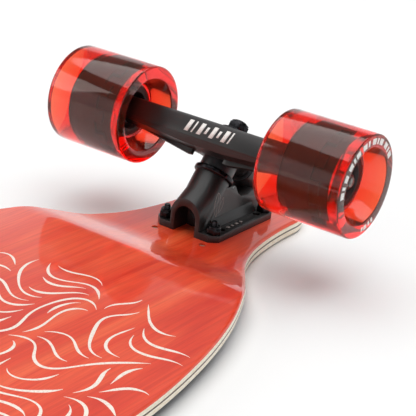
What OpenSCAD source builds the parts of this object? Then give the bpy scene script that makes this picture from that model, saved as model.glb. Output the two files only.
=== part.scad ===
// Longboard skateboard with a double-drop deck and reverse-kingpin trucks.
// It is stored upside down: it rests on its grip tape, with trucks and wheels up.
// +Y runs to the nose, +Z away from the grip tape. The origin is under the middle of the deck.
// "Top" and "bottom" in part names are the rider's top and bottom.

/* [Deck] */
// Overall length, nose to tail
deck_length = 838; // [820:1:860]
// Width at the middle of the standing platform
deck_width = 270; // [256:1:280]
// Width of the nose and tail between the wheels
nose_width = 85; // [80:1:90]
// Height that the standing platform stands off from the truck platforms
drop = 9.5; // [6:0.5:14]
// How far the rails of the standing platform curve away from its flat middle
concave = 6; // [3:0.5:8]
// Thickness of the stained bottom veneer and of the top veneer, each
veneer_t = 1.5; // [1:0.1:2]
// Thickness of each pale core half
core_t = 2.75; // [2:0.05:3.5]
// Thickness of the dark ply in the middle of the core
dark_ply_t = 1.2; // [0.8:0.1:1.6]
// Thickness of the grip tape
grip_t = 0.8; // [0.6:0.1:1.2]

/* [Truck mounting] */
// Distance between the inner bolt rows of the two trucks
wheelbase = 622.3; // [609.6:0.1:635]
// Distance across the board between two bolts
bolt_x = 41.3; // [41:0.1:42]
// Distance along the board between the two bolt rows of one truck
bolt_y = 63.5; // [63:0.1:64]
// Distance from each bolt row to the spare row that shortens the wheelbase
spare_step = 12.7; // [12:0.1:13.5]

/* [Truck] */
// Width of the hanger between the wheels
hanger_width = 155; // [150:1:165]
// Angle of the kingpin from the deck
kingpin_angle = 50; // [48:1:52]
// Height of the kingpin seat above the deck
seat_z = 38.3; // [37:0.1:40]
// Distance of the kingpin seat from the middle of the baseplate, towards the middle of the board
seat_back = 6.75; // [6:0.05:8]
// Height of the hanger's ring above the kingpin seat, along the kingpin
ring_h = 17.1; // [17:0.1:17.6]
// Distance from the kingpin to the axle
axle_offset = 23.9; // [23.5:0.1:25]

/* [Wheels] */
// Diameter of the wheels
wheel_d = 72; // [68:1:74]
// Width of the wheels
wheel_w = 65.5; // [60:0.5:66]
// Diameter of the opening in each wheel face
face_d = 54.6; // [50:0.2:56]
// Depth of the opening in each wheel face
face_depth = 14; // [12:0.5:15]
// Diameter of the plastic core
core_d = 40; // [38:0.5:42]

/* [Hidden] */
$fn = 64;
eps = 0.01;
deck_t = grip_t + 2 * veneer_t + 2 * core_t + dark_ply_t;
truck_y = (wheelbase + bolt_y) / 2;

// heights of the deck's layers above the grip face
grip_top = grip_t;
top_veneer_top = grip_top + veneer_t;
core_top_top = top_veneer_top + core_t;
dark_ply_top = core_top_top + dark_ply_t;
core_bottom_top = dark_ply_top + core_t;
bottom_veneer_top = core_bottom_top + veneer_t;

// outline: distance from the middle, and half width there; the last point starts the rounded nose
hip_y = 150;
neck_y = 335;
nose_y = 385;
outline = [
    [0, deck_width / 2],
    [90, deck_width / 2 - 2],
    [hip_y, deck_width / 2 - 10.5],
    [200, 111.5],
    [240, 94.5],
    [270, 76.5],
    [300, 57],
    [neck_y, 46.5],
    [nose_y, nose_width / 2]
];
outline_steps = 4;
nose_steps = 14;
nose_power = 2.4;

// drop ramps: where they start at the truck platform and end at the standing platform
ramp_out = 277;
ramp_in = 241.5;
ramp_round = 6;
ramp_steps = 4;
flat_mid = 40;
flat_end = 93;
rail_slope = concave / (deck_width / 2 - flat_mid);

// bolts, nuts and holes
bolt_r = 2.4;
hole_r = 2.6;
sink_r = 4.7;
sink_h = 3;
bolt_end = 14.3;
nut_h = 6;
nut_r = 5.5;

// baseplate
plate_l = 77.8;
plate_w = 53.5;
plate_t = 5;
plate_hole_r = 2.75;
plate_hole_y = [bolt_y / 2, bolt_y / 2 - 9.53];
wall_w = 26.2;
barrel_r = 13.3;
arch_half = 9;
arch_top = 20.5;
arch_wall = 3.4;
skirt_w = 35;
skirt_h = 12.5;
skirt_half_l = 26;
kingpin_r = 4.76;
kingpin_bore_r = 4.85;
head_h = 6.3;
head_seat = -22;
pivot_r = 6.32;
pivot_bore_r = 6.4;
cup_r = 8.4;
cup_mouth = 29;
cup_bottom = 39.5;
pivot_end = 37.4;
boss_r = 10.2;

// stack on the kingpin, as heights along it from the kingpin seat
cup_washer_low = -4;
cup_washer_t = 1.2;
ring_low = 13.4;
ring_high = 21;
upper_washer_low = 31.5;
kingpin_nut_low = 32.8;
kingpin_nut_top = 40.3;
kingpin_top = 41.4;
bushing_r = 12.8;
ring_bore_r = 7.6;
ring_r = 15.2;
beam_h = 16.6;
beam_round = 2.2;
keel_h = 3.4;
web_front = -15.6;
web_t = 3.6;

// axle and wheel hardware, as distances along the axle from the middle of the truck
axle_r = 3.97;
axle_half = 112.5;
washer_t = 0.75;
bearing_w = 7;
bearing_r = 11;
spacer_l = 10;
wheel_x = hanger_width / 2 + washer_t + bearing_w + spacer_l / 2;
axle_nut_h = 7.5;
ball_r = 1.75;
ball_ring_r = 7.5;
inner_race_r = 5.65;
outer_race_r = 9.35;
core_half = wheel_w / 2 - face_depth;
drum_r = core_d / 2 - 1.5;
collar_r = 21.1;
collar_low = -13;
collar_high = 5;
teeth = 8;
tooth_w = 8;
tooth_h = 7;

// ---------- the deck ----------

// slope of the outline at point i, from its neighbours
function tangent(i) = i == 0 || i == len(outline) - 1 ? 0
    : (outline[i + 1][1] - outline[i - 1][1]) / (outline[i + 1][0] - outline[i - 1][0]);

// point on the smooth curve between outline points i and i + 1
function curve_point(i, t) =
    let (a = outline[i], b = outline[i + 1], l = b[0] - a[0])
    [
        a[0] + l * t,
        (2 * pow(t, 3) - 3 * pow(t, 2) + 1) * a[1] + (pow(t, 3) - 2 * t * t + t) * l * tangent(i)
        + (3 * t * t - 2 * pow(t, 3)) * b[1] + (pow(t, 3) - t * t) * l * tangent(i + 1)
    ];

// half outline from the middle to the nose, as [distance along the board, half width]
function half_outline() = concat(
    [for (i = [0:len(outline) - 2], s = [0:outline_steps - 1]) curve_point(i, s / outline_steps)],
    [for (s = [0:nose_steps]) let (a = 90 * s / nose_steps) [
        nose_y + (deck_length / 2 - nose_y) * pow(sin(a), 2 / nose_power),
        nose_width / 2 * pow(cos(a), 2 / nose_power)
    ]]
);

module deck_outline() {
    half = half_outline();
    last = len(half) - 1;
    polygon(concat(
        [for (i = [0:last]) [half[i][1], half[i][0]]],
        [for (i = [last - 1:-1:0]) [-half[i][1], half[i][0]]],
        [for (i = [1:last]) [-half[i][1], -half[i][0]]],
        [for (i = [last - 1:-1:1]) [half[i][1], -half[i][0]]]
    ));
}

// height of the standing platform and its ramps at distance y from the middle
function ramp_slope() = drop / (ramp_out - ramp_in);
function bend(u) = u <= -ramp_round ? 0 : u >= ramp_round ? u : pow(u + ramp_round, 2) / (4 * ramp_round);
function rise(y) = ramp_slope() * (bend(ramp_out - abs(y)) - bend(ramp_in - abs(y)));

function ramp_stations() = concat(
    [for (s = [-ramp_steps:ramp_steps]) ramp_out - s * ramp_round / ramp_steps],
    [for (s = [-ramp_steps:ramp_steps]) ramp_in - s * ramp_round / ramp_steps]
);

// everything under the deck surface that lies at height h on the truck platforms
module under(h) {
    stations = ramp_stations();
    last = len(stations) - 1;
    span = deck_length / 2 + 10;
    difference() {
        translate([-deck_width, 0, 0])
            rotate([90, 0, 90])
            linear_extrude(2 * deck_width)
            polygon(concat(
                [[span, -20], [span, h]],
                [for (i = [0:last]) [stations[i], h + rise(stations[i])]],
                [for (i = [last:-1:0]) [-stations[i], h + rise(stations[i])]],
                [[-span, h], [-span, -20]]
            ));
        for (sx = [0, 1], sy = [0, 1])
            mirror([sx, 0, 0])
            mirror([0, sy, 0])
            rail_cut(h + drop);
    }
}

// what is above the slanting rail on one quarter of the standing platform
module rail_cut(h) {
    along = rail_slope * (flat_end - flat_mid) / ramp_in;
    turn_y = atan(rail_slope);
    intersection() {
        translate([flat_mid, 0, h])
            rotate([atan(along * cos(turn_y)), turn_y, 0])
            translate([-20, -50, 0])
            cube([300, 600, 60]);
        translate([0, 0, -50])
            cube([400, 500, 200]);
    }
}

module layer(low, high) {
    difference() {
        intersection() {
            translate([0, 0, -15])
                linear_extrude(60)
                deck_outline();
            difference() {
                under(high);
                under(low);
            }
        }
        deck_holes();
    }
}

// rows of holes through the deck: the bolted rows and the spare rows
module deck_holes() {
    for (end = [-1, 1], row = [-1, 1], x = [-1, 1])
        translate([x * bolt_x / 2, end * (truck_y + row * bolt_y / 2), -5]) {
            cylinder(r = hole_r, h = 40);
            translate([0, -end * spare_step, 0])
                cylinder(r = hole_r, h = 40);
            translate([0, 0, 5 - eps])
                cylinder(r1 = sink_r, r2 = hole_r, h = sink_h);
        }
}

module grip_tape() {
    color("#1d1d1f")
        layer(0, grip_top);
}

module deck_top_veneer() {
    color("#e3c79c")
        layer(grip_top, top_veneer_top);
}

module deck_core_top() {
    color("#ead7b4")
        layer(top_veneer_top, core_top_top);
}

module deck_dark_ply() {
    color("#6b5138")
        layer(core_top_top, dark_ply_top);
}

module deck_core_bottom() {
    color("#ead7b4")
        layer(dark_ply_top, core_bottom_top);
}

module deck_bottom_veneer() {
    color("#e5492c")
        layer(core_bottom_top, bottom_veneer_top);
}

// ---------- the trucks ----------

// places a truck part at the nose or the tail, with its origin between the four bolts on the deck
module at_truck(end) {
    rotate([0, 0, end == "front" ? 0 : 180])
        translate([0, truck_y, deck_t])
        children();
}

// from the truck's frame to the kingpin's: Z along the kingpin, Y towards the pivot
module on_kingpin() {
    translate([0, -seat_back, seat_z])
        rotate([kingpin_angle - 90, 0, 0])
        children();
}

// from the truck's frame to the pivot's: Z along the pivot, away from the kingpin
module on_pivot() {
    on_kingpin()
        translate([0, 0, ring_h])
        rotate([-90, 0, 0])
        children();
}

// from the truck's frame to the axle's: Z along the axle, towards the left of the board
module on_axle() {
    on_kingpin()
        translate([0, -axle_offset, ring_h])
        rotate([0, 90, 0])
        children();
}

module at_bolts(rows) {
    for (x = [-1, 1], y = rows)
        translate([x * bolt_x / 2, y, 0])
        children();
}

module baseplate(end) {
    color("#232326")
        at_truck(end)
        difference() {
            intersection() {
                union() {
                    flange();
                    barrel();
                    arch_block();
                    skirt();
                    rotate([90, 0, 90])
                        translate([0, 0, -wall_w / 2])
                        linear_extrude(wall_w)
                        polygon([
                            [-31, 2], [-16, 26], [-11, 31], [2, 29.5], [6, 23], [11, 19.5], [20, 18.5],
                            [27, 20.5],
                            [33, 19], [37, 12], [38.4, 5], [38.4, 2]
                        ]);
                    on_pivot()
                        translate([0, 0, cup_mouth])
                        cylinder(r = boss_r, h = 18);
                }
                translate([-plate_w / 2, -plate_l / 2, 0])
                    cube([plate_w, plate_l, 60]);
            }
            arch_opening();
            on_kingpin()
                translate([0, 0, head_seat - 40])
                cylinder(r = arch_half, h = 40);
            on_kingpin()
                translate([0, 0, head_seat - 1])
                cylinder(r = kingpin_bore_r, h = 60);
            on_kingpin()
                translate([0, 0, cup_washer_low])
                cylinder(r = barrel_r + 4, h = 30);
            on_pivot()
                translate([0, 0, cup_mouth - 12])
                cylinder(r = cup_r + 0.05, h = cup_bottom - cup_mouth + 12.1);
            at_bolts([for (s = [-1, 1], y = plate_hole_y) s * y])
                translate([0, 0, -1])
                cylinder(r = plate_hole_r, h = 40);
            at_bolts([for (s = [-1, 1]) s * bolt_y / 2])
                translate([0, 0, plate_t])
                cylinder(r = nut_r + 0.8, h = 12);
        }
}

module flange() {
    c = 5.5;
    x = plate_w / 2;
    y = plate_l / 2;
    linear_extrude(plate_t)
        polygon([
            [x, -y + c], [x, y - c], [x - c, y], [c - x, y],
            [-x, y - c], [-x, -y + c], [c - x, -y], [x - c, -y]
        ]);
}

module barrel() {
    on_kingpin()
        translate([0, 0, -45])
        cylinder(r = barrel_r, h = 45 + cup_washer_low);
}

// the sloping foot of the wall on the flange
module skirt() {
    translate([0, skirt_half_l, 0])
        rotate([90, 0, 0])
        linear_extrude(2 * skirt_half_l)
        polygon([
            [-skirt_w / 2, 3], [skirt_w / 2, 3], [skirt_w / 2, plate_t + 0.8], [wall_w / 2 - 1, skirt_h],
            [1 - wall_w / 2, skirt_h], [-skirt_w / 2, plate_t + 0.8]
        ]);
}

// the barrel's foot, which spreads into an arch at the plate's inner end
module arch_block() {
    hull() {
        on_kingpin()
            translate([0, 0, -18])
            cylinder(r = barrel_r - 0.5, h = 1, $fn = 24);
        translate([0, -plate_l / 2 - 1, 0.5])
            arch_shape(arch_half + arch_wall, arch_top + arch_wall + 0.8, 1);
    }
}

module arch_opening() {
    translate([0, -plate_l / 2 + 7, -1])
        arch_shape(arch_half, arch_top + 1, 18);
}

// an upright arch of half width r and height top, depth deep, centred on its own middle
module arch_shape(r, top, depth) {
    translate([0, depth / 2, top - r])
        rotate([90, 0, 0])
        cylinder(r = r, h = depth, $fn = 32);
    translate([-r, -depth / 2, 0])
        cube([2 * r, depth, top - r]);
}

module pivot_cup(end) {
    color("#2b2b2d")
        at_truck(end)
        on_pivot()
        difference() {
            union() {
                translate([0, 0, cup_mouth])
                    cylinder(r = cup_r, h = cup_bottom - cup_mouth);
                translate([0, 0, cup_mouth - 0.9])
                    cylinder(r = cup_r + 1, h = 0.9);
            }
            translate([0, 0, cup_mouth - 2])
                cylinder(r = pivot_bore_r, h = pivot_end - cup_mouth + 2.6);
        }
}

module kingpin(end) {
    color("#3a3a3d")
        at_truck(end)
        on_kingpin() {
            translate([0, 0, head_seat - head_h])
                cylinder(r = 8.2, h = head_h, $fn = 6);
            translate([0, 0, head_seat - eps])
                cylinder(r = kingpin_r, h = kingpin_top - head_seat);
        }
}

module kingpin_nut(end) {
    color("#58585c")
        at_truck(end)
        on_kingpin()
        difference() {
            union() {
                translate([0, 0, kingpin_nut_low])
                    cylinder(r = 8.2, h = 5.6, $fn = 6);
                translate([0, 0, kingpin_nut_low + 5.6])
                    cylinder(r = 6.6, h = kingpin_nut_top - kingpin_nut_low - 5.6);
            }
            translate([0, 0, kingpin_nut_low - 1])
                cylinder(r = kingpin_r + 0.03, h = 12);
        }
}

module cup_washer(end) {
    color("#2f2c2d")
        at_truck(end)
        on_kingpin()
        rotate_extrude()
        polygon([
            [kingpin_bore_r, cup_washer_low], [14.1, cup_washer_low], [15, cup_washer_low + 0.9],
            [15, -0.7], [14.2, 0.1], [bushing_r + 0.4, 0.1], [bushing_r + 0.1, -0.3],
            [bushing_r + 0.1, cup_washer_low + cup_washer_t],
            [kingpin_bore_r, cup_washer_low + cup_washer_t]
        ]);
}

module upper_washer(end) {
    color("#2f2c2d")
        at_truck(end)
        on_kingpin()
        difference() {
            translate([0, 0, upper_washer_low])
                cylinder(r = 11.5, h = kingpin_nut_low - upper_washer_low);
            translate([0, 0, upper_washer_low - 1])
                cylinder(r = kingpin_bore_r, h = 5);
        }
}

module board_bushing(end) {
    low = cup_washer_low + cup_washer_t;
    color("#18181a")
        at_truck(end)
        on_kingpin()
        rotate_extrude()
        polygon([
            [kingpin_bore_r, low], [bushing_r - 0.8, low], [bushing_r, low + 0.8],
            [bushing_r, ring_low - 0.8], [bushing_r - 0.8, ring_low], [kingpin_bore_r, ring_low]
        ]);
}

module road_bushing(end) {
    color("#18181a")
        at_truck(end)
        on_kingpin()
        rotate_extrude()
        polygon([
            [kingpin_bore_r, ring_high], [bushing_r - 0.8, ring_high], [bushing_r - 0.2, ring_high + 1],
            [10.6, upper_washer_low - 0.8], [9.8, upper_washer_low], [kingpin_bore_r, upper_washer_low]
        ]);
}

module hanger(end) {
    rib_low = 10.2;
    color("#232326")
        at_truck(end)
        difference() {
            union() {
                on_axle()
                    rotate([0, 0, 90])
                    beam();
                on_axle()
                    translate([0, 0, -hanger_width / 2])
                    cylinder(r = 7, h = hanger_width);
                keel();
                webs();
                on_kingpin()
                    translate([0, 0, rib_low])
                    linear_extrude(ring_high - rib_low)
                    polygon([
                        [72, -21], [58, -14], [21, 3], [11, 15], [-11, 15], [-21, 3], [-58, -14], [-72, -21]
                    ]);
                on_kingpin()
                    translate([0, 0, ring_low - 2])
                    cylinder(r = ring_r, h = ring_high - ring_low + 3.2);
                on_pivot()
                    translate([0, 0, 9])
                    cylinder(r1 = 10, r2 = 7.4, h = 18);
                on_pivot()
                    translate([0, 0, 12])
                    cylinder(r = pivot_r, h = pivot_end - 12);
            }
            on_kingpin()
                translate([0, 0, ring_low - 20])
                cylinder(r = bushing_r + 0.3, h = 20);
            on_kingpin()
                translate([0, 0, ring_high])
                cylinder(r = bushing_r + 0.3, h = 20);
            on_kingpin()
                cylinder(r = ring_bore_r, h = 40);
            on_axle()
                translate([0, 0, -hanger_width])
                cylinder(r = axle_r + 0.03, h = 2 * hanger_width);
        }
}

// the hanger's square beam with rounded edges, along Z
module beam() {
    half = beam_h / 2 - beam_round;
    translate([0, 0, -hanger_width / 2 + 2])
        linear_extrude(hanger_width - 4)
        polygon([
            for (q = [0:3], s = [0:4])
                let (a = 90 * q + 22.5 * s, sx = q == 0 || q == 3 ? 1 : -1, sy = q < 2 ? 1 : -1)
                [sx * half + beam_round * cos(a), sy * half + beam_round * sin(a)]
        ]);
}

// the slanting underside that deepens the beam towards its middle
module keel() {
    on_kingpin()
        hull()
        for (x = [-1, 1]) {
            translate([x * 74 - 0.5, -axle_offset - 7, ring_h - beam_h / 2])
                cube([1, 14, 4]);
            translate([x * 16 - 0.5, -axle_offset - 4.3, ring_h - beam_h / 2 - keel_h])
                cube([1, 12.3, keel_h + 3]);
        }
}

// the upright webs that stiffen the beam on both sides of the ring
module webs() {
    on_kingpin()
        for (m = [0, 1])
            mirror([m, 0, 0])
            translate([0, web_front, 0])
            rotate([90, 0, 0])
            linear_extrude(web_t)
            polygon([[13.5, 2.2], [17, 1.8], [69, 9.6], [69, 14], [13.5, 14]]);
}

module axle(end) {
    color("#b9b9bd")
        at_truck(end)
        on_axle()
        translate([0, 0, -axle_half])
        cylinder(r = axle_r, h = 2 * axle_half);
}

module mounting_bolts(end) {
    color("#1c1c1e")
        at_truck(end)
        at_bolts([-bolt_y / 2, bolt_y / 2]) {
            translate([0, 0, 0.2 - deck_t])
                cylinder(r1 = sink_r - 0.2, r2 = bolt_r, h = sink_h - 0.4);
            translate([0, 0, 0.3 - deck_t])
                cylinder(r = bolt_r, h = deck_t + bolt_end - 0.3);
        }
}

module mounting_nuts(end) {
    color("#1c1c1e")
        at_truck(end)
        at_bolts([-bolt_y / 2, bolt_y / 2])
        difference() {
            union() {
                translate([0, 0, plate_t])
                    cylinder(r = nut_r, h = nut_h - 1.8, $fn = 6);
                translate([0, 0, plate_t + nut_h - 1.8])
                    cylinder(r = 4.4, h = 1.8);
            }
            translate([0, 0, plate_t - 1])
                cylinder(r = bolt_r + 0.03, h = nut_h + 2);
        }
}

// repeats its children at both ends of the axle, with Z pointing outwards from the truck's middle
module both_axle_ends() {
    on_axle()
        for (m = [0, 1])
            mirror([0, 0, m])
            children();
}

module ring(r_in, r_out, low, high) {
    translate([0, 0, low])
        difference() {
            cylinder(r = r_out, h = high - low);
            translate([0, 0, -1])
                cylinder(r = r_in, h = high - low + 2);
        }
}

module axle_nuts(end) {
    low = wheel_x + spacer_l / 2 + bearing_w + washer_t;
    color("#2a2a2c")
        at_truck(end)
        both_axle_ends()
        difference() {
            union() {
                translate([0, 0, low])
                    cylinder(r = 7.3, h = axle_nut_h - 2, $fn = 6);
                translate([0, 0, low + axle_nut_h - 2])
                    cylinder(r = 5.7, h = 2);
            }
            translate([0, 0, low - 1])
                cylinder(r = axle_r + 0.03, h = axle_nut_h + 2);
        }
}

module speed_washers(end) {
    outer = wheel_x + spacer_l / 2 + bearing_w;
    color("#a8a8ac")
        at_truck(end)
        both_axle_ends() {
            ring(axle_r + 0.05, 5.5, hanger_width / 2, hanger_width / 2 + washer_t);
            ring(axle_r + 0.05, 5.5, outer, outer + washer_t);
        }
}

module bearing_inner_races(end) {
    color("#c4c4c8")
        at_truck(end)
        both_axle_ends()
        translate([0, 0, wheel_x])
        for (m = [0, 1])
            mirror([0, 0, m])
            ring(axle_r + 0.03, inner_race_r, spacer_l / 2, spacer_l / 2 + bearing_w);
}

module bearing_spacers(end) {
    color("#c4c4c8")
        at_truck(end)
        both_axle_ends()
        ring(axle_r + 0.05, 5.3, wheel_x - spacer_l / 2, wheel_x + spacer_l / 2);
}

// ---------- the wheels ----------

// places a wheel part on its axle, with Z along the axle, towards the left of the board
module at_wheel(end, side) {
    turned = end == "front" ? 1 : -1;
    out = side == "left" ? 1 : -1;
    at_truck(end)
        on_axle()
        translate([0, 0, turned * out * wheel_x])
        children();
}

module tyre(end, side) {
    half = wheel_w / 2;
    r = wheel_d / 2;
    color("#e8301f")
        at_wheel(end, side)
        difference() {
            rotate_extrude($fn = 96)
                polygon([
                    [core_d / 2 - 1, -core_half], [core_d / 2, -core_half], [face_d / 2, -half],
                    [r - 1, -half], [r, 1 - half], [r, half - 1], [r - 1, half], [face_d / 2, half],
                    [core_d / 2, core_half], [core_d / 2 - 1, core_half]
                ]);
            core_shape();
        }
}

// the outside of the plastic core: a drum with a collar, whose teeth key it into the urethane
module core_shape() {
    translate([0, 0, -core_half])
        cylinder(r = drum_r, h = 2 * core_half);
    translate([0, 0, collar_low])
        cylinder(r = collar_r, h = collar_high - collar_low);
    for (i = [0:teeth - 1])
        rotate([0, 0, i * 360 / teeth])
        translate([drum_r - 2, -tooth_w / 2, collar_high - 1])
        cube([collar_r - drum_r + 1.5, tooth_w, tooth_h + 1]);
}

module core(end, side) {
    color("#1b1414")
        at_wheel(end, side)
        difference() {
            core_shape();
            translate([0, 0, -core_half - 1])
                cylinder(r = 9.5, h = 2 * core_half + 2);
            for (m = [0, 1])
                mirror([0, 0, m])
                translate([0, 0, spacer_l / 2])
                cylinder(r = bearing_r + 0.03, h = core_half);
            for (m = [0, 1])
                mirror([0, 0, m])
                translate([0, 0, spacer_l / 2 + bearing_w + 1])
                cylinder(r1 = bearing_r, r2 = 14.5, h = core_half - spacer_l / 2 - bearing_w);
        }
}

module bearing_outer_races(end, side) {
    low = spacer_l / 2;
    color("#8e8e92")
        at_wheel(end, side)
        for (m = [0, 1])
            mirror([0, 0, m]) {
                ring(outer_race_r, bearing_r, low, low + bearing_w);
                ring(inner_race_r + 0.2, outer_race_r + 0.3, low + 0.2, low + 0.6);
                ring(inner_race_r + 0.2, outer_race_r + 0.3, low + bearing_w - 0.6, low + bearing_w - 0.2);
            }
}

module bearing_balls(end, side) {
    color("#d0d0d4")
        at_wheel(end, side)
        for (m = [0, 1])
            mirror([0, 0, m])
            translate([0, 0, (spacer_l + bearing_w) / 2]) {
                ring(ball_ring_r - 0.5, ball_ring_r + 0.5, -0.7, 0.7);
                for (i = [0:6])
                    rotate([0, 0, i * 360 / 7])
                    translate([ball_ring_r, 0, 0])
                    sphere(r = ball_r, $fn = 32);
            }
}

grip_tape();
deck_top_veneer();
deck_core_top();
deck_dark_ply();
deck_core_bottom();
deck_bottom_veneer();
baseplate("front");  // front_baseplate
pivot_cup("front");  // front_pivot_cup
kingpin("front");  // front_kingpin
kingpin_nut("front");  // front_kingpin_nut
cup_washer("front");  // front_cup_washer
upper_washer("front");  // front_upper_washer
board_bushing("front");  // front_board_bushing
road_bushing("front");  // front_road_bushing
hanger("front");  // front_hanger
axle("front");  // front_axle
mounting_bolts("front");  // front_mounting_bolts
mounting_nuts("front");  // front_mounting_nuts
axle_nuts("front");  // front_axle_nuts
speed_washers("front");  // front_speed_washers
bearing_inner_races("front");  // front_bearing_inner_races
bearing_spacers("front");  // front_bearing_spacers
baseplate("rear");  // rear_baseplate
pivot_cup("rear");  // rear_pivot_cup
kingpin("rear");  // rear_kingpin
kingpin_nut("rear");  // rear_kingpin_nut
cup_washer("rear");  // rear_cup_washer
upper_washer("rear");  // rear_upper_washer
board_bushing("rear");  // rear_board_bushing
road_bushing("rear");  // rear_road_bushing
hanger("rear");  // rear_hanger
axle("rear");  // rear_axle
mounting_bolts("rear");  // rear_mounting_bolts
mounting_nuts("rear");  // rear_mounting_nuts
axle_nuts("rear");  // rear_axle_nuts
speed_washers("rear");  // rear_speed_washers
bearing_inner_races("rear");  // rear_bearing_inner_races
bearing_spacers("rear");  // rear_bearing_spacers
tyre("front", "left");  // front_left_tyre
core("front", "left");  // front_left_core
bearing_outer_races("front", "left");  // front_left_bearing_outer_races
bearing_balls("front", "left");  // front_left_bearing_balls
tyre("front", "right");  // front_right_tyre
core("front", "right");  // front_right_core
bearing_outer_races("front", "right");  // front_right_bearing_outer_races
bearing_balls("front", "right");  // front_right_bearing_balls
tyre("rear", "left");  // rear_left_tyre
core("rear", "left");  // rear_left_core
bearing_outer_races("rear", "left");  // rear_left_bearing_outer_races
bearing_balls("rear", "left");  // rear_left_bearing_balls
tyre("rear", "right");  // rear_right_tyre
core("rear", "right");  // rear_right_core
bearing_outer_races("rear", "right");  // rear_right_bearing_outer_races
bearing_balls("rear", "right");  // rear_right_bearing_balls
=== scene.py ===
import math
import random

import bmesh
import bpy
from mathutils import Matrix, Vector
from mathutils.bvhtree import BVHTree


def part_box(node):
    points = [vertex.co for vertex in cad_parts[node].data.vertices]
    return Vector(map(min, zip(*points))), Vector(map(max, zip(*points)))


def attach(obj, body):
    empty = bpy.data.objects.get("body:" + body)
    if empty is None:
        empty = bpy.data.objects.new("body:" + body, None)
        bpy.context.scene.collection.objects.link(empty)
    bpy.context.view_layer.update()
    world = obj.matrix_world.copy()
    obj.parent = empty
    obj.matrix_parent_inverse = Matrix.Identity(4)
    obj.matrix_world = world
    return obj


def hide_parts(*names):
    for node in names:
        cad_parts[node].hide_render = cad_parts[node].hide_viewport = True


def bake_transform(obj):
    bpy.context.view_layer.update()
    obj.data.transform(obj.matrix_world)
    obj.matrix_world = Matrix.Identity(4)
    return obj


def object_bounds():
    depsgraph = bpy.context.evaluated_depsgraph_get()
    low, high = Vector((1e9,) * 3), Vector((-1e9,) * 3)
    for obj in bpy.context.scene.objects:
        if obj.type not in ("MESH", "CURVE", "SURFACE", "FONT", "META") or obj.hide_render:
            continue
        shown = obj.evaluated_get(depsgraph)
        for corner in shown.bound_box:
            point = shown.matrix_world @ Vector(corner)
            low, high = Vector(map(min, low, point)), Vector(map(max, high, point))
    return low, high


# A longboard skateboard, stored upside down on its grip tape with its trucks and wheels up.
# The deck comes first, then the trucks from the deck outwards, then the wheels, then the studio.
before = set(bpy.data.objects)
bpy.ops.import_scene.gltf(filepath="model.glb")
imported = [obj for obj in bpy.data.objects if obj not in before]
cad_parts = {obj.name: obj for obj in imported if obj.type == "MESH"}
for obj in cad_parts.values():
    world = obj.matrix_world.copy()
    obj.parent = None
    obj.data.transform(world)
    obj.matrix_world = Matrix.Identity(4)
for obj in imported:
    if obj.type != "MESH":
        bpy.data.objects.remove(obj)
cad_low, cad_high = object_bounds()
MM = 0.001

# ---------- camera ----------
# A long lens from the nose's left side, a little above the wheels, tilted a few degrees.
camera_data = bpy.data.cameras.new("camera")
camera_data.sensor_width = 36
camera_data.lens = 120.2
camera_data.clip_start = 0.05
camera_data.clip_end = 50
camera = bpy.data.objects.new("camera", camera_data)
camera_right = Vector((0.80965, 0.57794, 0.10221))
camera_up = Vector((-0.29461, 0.24960, 0.92245))
camera_back = camera_right.cross(camera_up)
camera.matrix_world = Matrix.Translation((0.50457, -0.44030, 0.39250)) @ Matrix(
    (camera_right, camera_up, camera_back)
).transposed().to_4x4()
bpy.context.scene.collection.objects.link(camera)
bpy.context.scene.camera = camera

# ---------- deck ----------
# Maple plies pressed in a mould: the standing platform drops between two short ramps, and its
# rails curl towards the rider. The outline narrows at both ends to clear the wheels.
deck_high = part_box("deck_bottom_veneer")[1]
plate_low, plate_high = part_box("front_baseplate")
half_length = deck_high.y
half_width = deck_high.x
deck_z = plate_low.z
truck_y = (plate_low.y + plate_high.y) / 2
nose_half = 42.5 * MM
nose_start = 385 * MM
nose_power = 2.4
platform_drop = 9.5 * MM
ramp_out, ramp_in = 277 * MM, 241.5 * MM
ramp_round = 7 * MM
rail_flat_mid, rail_flat_end = 40 * MM, 93 * MM
rail_slope = 6 * MM / (half_width - rail_flat_mid)
rail_round = 22 * MM
edge_round = 2.6 * MM

outline = [
    (0, half_width),
    (90 * MM, half_width - 2 * MM),
    (150 * MM, half_width - 10.5 * MM),
    (200 * MM, 111.5 * MM),
    (240 * MM, 94.5 * MM),
    (270 * MM, 76.5 * MM),
    (300 * MM, 57 * MM),
    (335 * MM, 46.5 * MM),
    (nose_start, nose_half),
]


def outline_slope(i):
    if i in (0, len(outline) - 1):
        return 0
    (y0, x0), (y1, x1) = outline[i - 1], outline[i + 1]
    return (x1 - x0) / (y1 - y0)


def half_width_at(y):
    """Half width of the deck at distance y from its middle."""
    y = min(abs(y), half_length)
    if y >= nose_start:
        share = (y - nose_start) / (half_length - nose_start)
        return nose_half * max(0, 1 - share**nose_power) ** (1 / nose_power)
    i = max(n for n, (at, _) in enumerate(outline[:-1]) if at <= y)
    (y0, x0), (y1, x1) = outline[i], outline[i + 1]
    length = y1 - y0
    t = (y - y0) / length
    return (
        (2 * t**3 - 3 * t**2 + 1) * x0
        + (t**3 - 2 * t**2 + t) * length * outline_slope(i)
        + (3 * t**2 - 2 * t**3) * x1
        + (t**3 - t**2) * length * outline_slope(i + 1)
    )


def bend(u, radius):
    """0 before a bend and u after it, with a parabola between."""
    if u <= -radius:
        return 0
    return u if u >= radius else (u + radius) ** 2 / (4 * radius)


def deck_surface(x, y):
    """Height of the lacquered bottom of the deck, which faces up here."""
    slope = platform_drop / (ramp_out - ramp_in)
    rise = slope * (bend(ramp_out - abs(y), ramp_round) - bend(ramp_in - abs(y), ramp_round))
    flat = rail_flat_mid + (rail_flat_end - rail_flat_mid) * abs(y) / ramp_in
    return deck_z + rise - rail_slope * bend(abs(x) - flat, rail_round)


def station(v):
    """Distance along the deck of grid row v from -1 to 1, closer together towards the ends."""
    return half_length * math.sin(v * math.pi / 2)


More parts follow.
